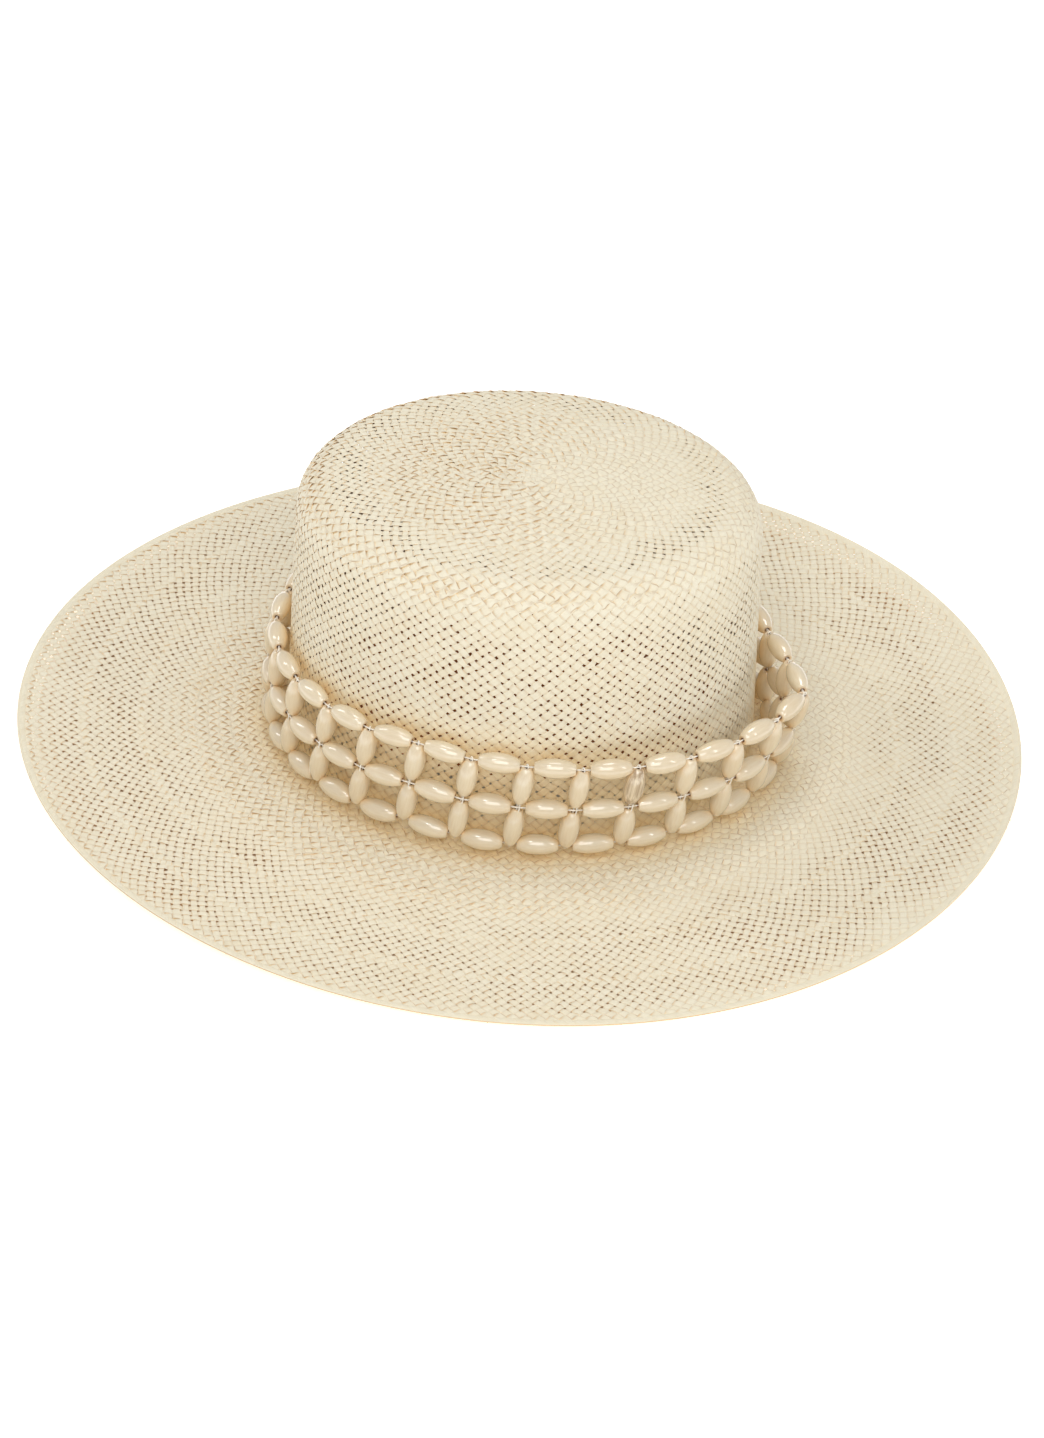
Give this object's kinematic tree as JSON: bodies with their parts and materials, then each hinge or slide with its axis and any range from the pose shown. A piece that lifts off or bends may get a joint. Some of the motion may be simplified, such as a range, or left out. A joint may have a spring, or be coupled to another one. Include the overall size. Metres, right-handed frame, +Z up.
{
  "type": "panama hat",
  "caption": "Wide-brimmed woven straw panama hat with a flat-topped round crown, a lined sweatband and a loose net hatband of polished wooden barrel beads.",
  "frame": {"origin": "centre of the head opening, on the plane of the brim's flat underside that the hat rests on", "axes": "+X towards the wearer's front (the long axis of the head oval), +Y to the wearer's left, +Z up through the crown"},
  "size_m": [0.4324, 0.4048, 0.1286],
  "materials": {
    "straw": "matte woven palm straw, cream",
    "bead_wood": "polished pale wood, lacquered",
    "grosgrain": "ribbed ribbon, ivory",
    "thread": "cotton thread",
    "label_cloth": "satin label, blank"
  },
  "bodies": {
    "hat": {"straw_body": "straw", "sweatband": "grosgrain", "sweatband_stitching": "thread", "sweatband_bow": "grosgrain"},
    "size_label": {"size_label": "label_cloth"},
    "bead_band": {"top_bead_string": "bead_wood", "middle_bead_string": "bead_wood", "bottom_bead_string": "bead_wood"},
    "bead_column_01": {"vertical_beads_01": "bead_wood"},
    "bead_column_02": {"vertical_beads_02": "bead_wood"},
    "bead_column_03": {"vertical_beads_03": "bead_wood"},
    "bead_column_04": {"vertical_beads_04": "bead_wood"},
    "bead_column_05": {"vertical_beads_05": "bead_wood"},
    "bead_column_06": {"vertical_beads_06": "bead_wood"},
    "bead_column_07": {"vertical_beads_07": "bead_wood"},
    "bead_column_08": {"vertical_beads_08": "bead_wood"},
    "bead_column_09": {"vertical_beads_09": "bead_wood"},
    "bead_column_10": {"vertical_beads_10": "bead_wood"},
    "bead_column_11": {"vertical_beads_11": "bead_wood"},
    "bead_column_12": {"vertical_beads_12": "bead_wood"},
    "bead_column_13": {"vertical_beads_13": "bead_wood"},
    "bead_column_14": {"vertical_beads_14": "bead_wood"},
    "bead_column_15": {"vertical_beads_15": "bead_wood"},
    "bead_column_16": {"vertical_beads_16": "bead_wood"},
    "bead_column_17": {"vertical_beads_17": "bead_wood"},
    "bead_column_18": {"vertical_beads_18": "bead_wood"},
    "bead_column_19": {"vertical_beads_19": "bead_wood"},
    "bead_column_20": {"vertical_beads_20": "bead_wood"},
    "bead_column_21": {"vertical_beads_21": "bead_wood"},
    "bead_column_22": {"vertical_beads_22": "bead_wood"},
    "bead_column_23": {"vertical_beads_23": "bead_wood"},
    "bead_column_24": {"vertical_beads_24": "bead_wood"},
    "bead_column_25": {"vertical_beads_25": "bead_wood"},
    "bead_column_26": {"vertical_beads_26": "bead_wood"},
    "bead_column_27": {"vertical_beads_27": "bead_wood"},
    "bead_column_28": {"vertical_beads_28": "bead_wood"}
  },
  "joints": [
    {"name": "band_lift", "type": "slide", "parent": "hat", "child": "bead_band", "axis": [0, 0, 1], "range_m": [0, 0.135]},
    {"name": "label_flap", "type": "hinge", "parent": "hat", "child": "size_label", "pos_m": [0, 0.08214, 0.0235], "axis": [-1, 0, 0], "range_deg": [0, 150]},
    {"name": "vertical_beads_01_spin", "type": "hinge", "parent": "bead_band", "child": "bead_column_01", "pos_m": [0.11686, -0.01871, 0.02727], "axis": [0.2463, -0.0503, 0.9679], "continuous": true},
    {"name": "vertical_beads_02_spin", "type": "hinge", "parent": "bead_band", "child": "bead_column_02", "pos_m": [0.11193, 0.00349, 0.02715], "axis": [0.09, -0.0851, 0.9923], "continuous": true},
    {"name": "vertical_beads_03_spin", "type": "hinge", "parent": "bead_band", "child": "bead_column_03", "pos_m": [0.10357, 0.02478, 0.02654], "axis": [-0.014, -0.1262, 0.9919], "continuous": true},
    {"name": "vertical_beads_04_spin", "type": "hinge", "parent": "bead_band", "child": "bead_column_04", "pos_m": [0.09367, 0.04546, 0.02656], "axis": [0.002, -0.1188, 0.9929], "continuous": true},
    {"name": "vertical_beads_05_spin", "type": "hinge", "parent": "bead_band", "child": "bead_column_05", "pos_m": [0.07907, 0.06313, 0.02659], "axis": [0.02, -0.105, 0.9943], "continuous": true},
    {"name": "vertical_beads_06_spin", "type": "hinge", "parent": "bead_band", "child": "bead_column_06", "pos_m": [0.06081, 0.07701, 0.02661], "axis": [0.0314, -0.0914, 0.9953], "continuous": true},
    {"name": "vertical_beads_07_spin", "type": "hinge", "parent": "bead_band", "child": "bead_column_07", "pos_m": [0.04003, 0.08674, 0.02662], "axis": [0.0379, -0.0792, 0.9961], "continuous": true},
    {"name": "vertical_beads_08_spin", "type": "hinge", "parent": "bead_band", "child": "bead_column_08", "pos_m": [0.01775, 0.09221, 0.02664], "axis": [0.0413, -0.0689, 0.9968], "continuous": true},
    {"name": "vertical_beads_09_spin", "type": "hinge", "parent": "bead_band", "child": "bead_column_09", "pos_m": [-0.00517, 0.09339, 0.02665], "axis": [0.0425, -0.0604, 0.9973], "continuous": true},
    {"name": "vertical_beads_10_spin", "type": "hinge", "parent": "bead_band", "child": "bead_column_10", "pos_m": [-0.02791, 0.09028, 0.02666], "axis": [0.0424, -0.0539, 0.9976], "continuous": true},
    {"name": "vertical_beads_11_spin", "type": "hinge", "parent": "bead_band", "child": "bead_column_11", "pos_m": [-0.04963, 0.08289, 0.02666], "axis": [0.0416, -0.0494, 0.9979], "continuous": true},
    {"name": "vertical_beads_12_spin", "type": "hinge", "parent": "bead_band", "child": "bead_column_12", "pos_m": [-0.06941, 0.07127, 0.02666], "axis": [0.0411, -0.0469, 0.9981], "continuous": true},
    {"name": "vertical_beads_13_spin", "type": "hinge", "parent": "bead_band", "child": "bead_column_13", "pos_m": [-0.08618, 0.05563, 0.02666], "axis": [0.0419, -0.0467, 0.998], "continuous": true},
    {"name": "vertical_beads_14_spin", "type": "hinge", "parent": "bead_band", "child": "bead_column_14", "pos_m": [-0.09873, 0.03644, 0.02666], "axis": [0.0457, -0.0482, 0.9978], "continuous": true},
    {"name": "vertical_beads_15_spin", "type": "hinge", "parent": "bead_band", "child": "bead_column_15", "pos_m": [-0.10587, 0.01467, 0.02665], "axis": [0.0541, -0.05, 0.9973], "continuous": true},
    {"name": "vertical_beads_16_spin", "type": "hinge", "parent": "bead_band", "child": "bead_column_16", "pos_m": [-0.10678, -0.00822, 0.02713], "axis": [0.0675, -0.0497, 0.9965], "continuous": true},
    {"name": "vertical_beads_17_spin", "type": "hinge", "parent": "bead_band", "child": "bead_column_17", "pos_m": [-0.10134, -0.03047, 0.0277], "axis": [0.0845, -0.0447, 0.9954], "continuous": true},
    {"name": "vertical_beads_18_spin", "type": "hinge", "parent": "bead_band", "child": "bead_column_18", "pos_m": [-0.09021, -0.0505, 0.02817], "axis": [0.1023, -0.034, 0.9942], "continuous": true},
    {"name": "vertical_beads_19_spin", "type": "hinge", "parent": "bead_band", "child": "bead_column_19", "pos_m": [-0.07452, -0.06721, 0.02834], "axis": [0.1181, -0.0182, 0.9928], "continuous": true},
    {"name": "vertical_beads_20_spin", "type": "hinge", "parent": "bead_band", "child": "bead_column_20", "pos_m": [-0.05547, -0.07999, 0.02851], "axis": [0.1305, 0.0016, 0.9914], "continuous": true},
    {"name": "vertical_beads_21_spin", "type": "hinge", "parent": "bead_band", "child": "bead_column_21", "pos_m": [-0.03421, -0.08859, 0.03002], "axis": [0.1392, 0.0242, 0.99], "continuous": true},
    {"name": "vertical_beads_22_spin", "type": "hinge", "parent": "bead_band", "child": "bead_column_22", "pos_m": [-0.01167, -0.09292, 0.02787], "axis": [0.1427, 0.0489, 0.9886], "continuous": true},
    {"name": "vertical_beads_23_spin", "type": "hinge", "parent": "bead_band", "child": "bead_column_23", "pos_m": [0.01127, -0.09295, 0.02685], "axis": [0.1419, 0.0755, 0.987], "continuous": true},
    {"name": "vertical_beads_24_spin", "type": "hinge", "parent": "bead_band", "child": "bead_column_24", "pos_m": [0.03406, -0.09019, 0.02647], "axis": [0.1436, 0.0546, 0.9881], "continuous": true},
    {"name": "vertical_beads_25_spin", "type": "hinge", "parent": "bead_band", "child": "bead_column_25", "pos_m": [0.05602, -0.08351, 0.02647], "axis": [0.1493, 0.0333, 0.9882], "continuous": true},
    {"name": "vertical_beads_26_spin", "type": "hinge", "parent": "bead_band", "child": "bead_column_26", "pos_m": [0.07625, -0.07271, 0.02645], "axis": [0.1601, 0.0116, 0.987], "continuous": true},
    {"name": "vertical_beads_27_spin", "type": "hinge", "parent": "bead_band", "child": "bead_column_27", "pos_m": [0.09381, -0.05796, 0.02639], "axis": [0.1776, -0.0102, 0.984], "continuous": true},
    {"name": "vertical_beads_28_spin", "type": "hinge", "parent": "bead_band", "child": "bead_column_28", "pos_m": [0.10766, -0.03969, 0.02688], "axis": [0.2049, -0.0316, 0.9783], "continuous": true}
  ]
}
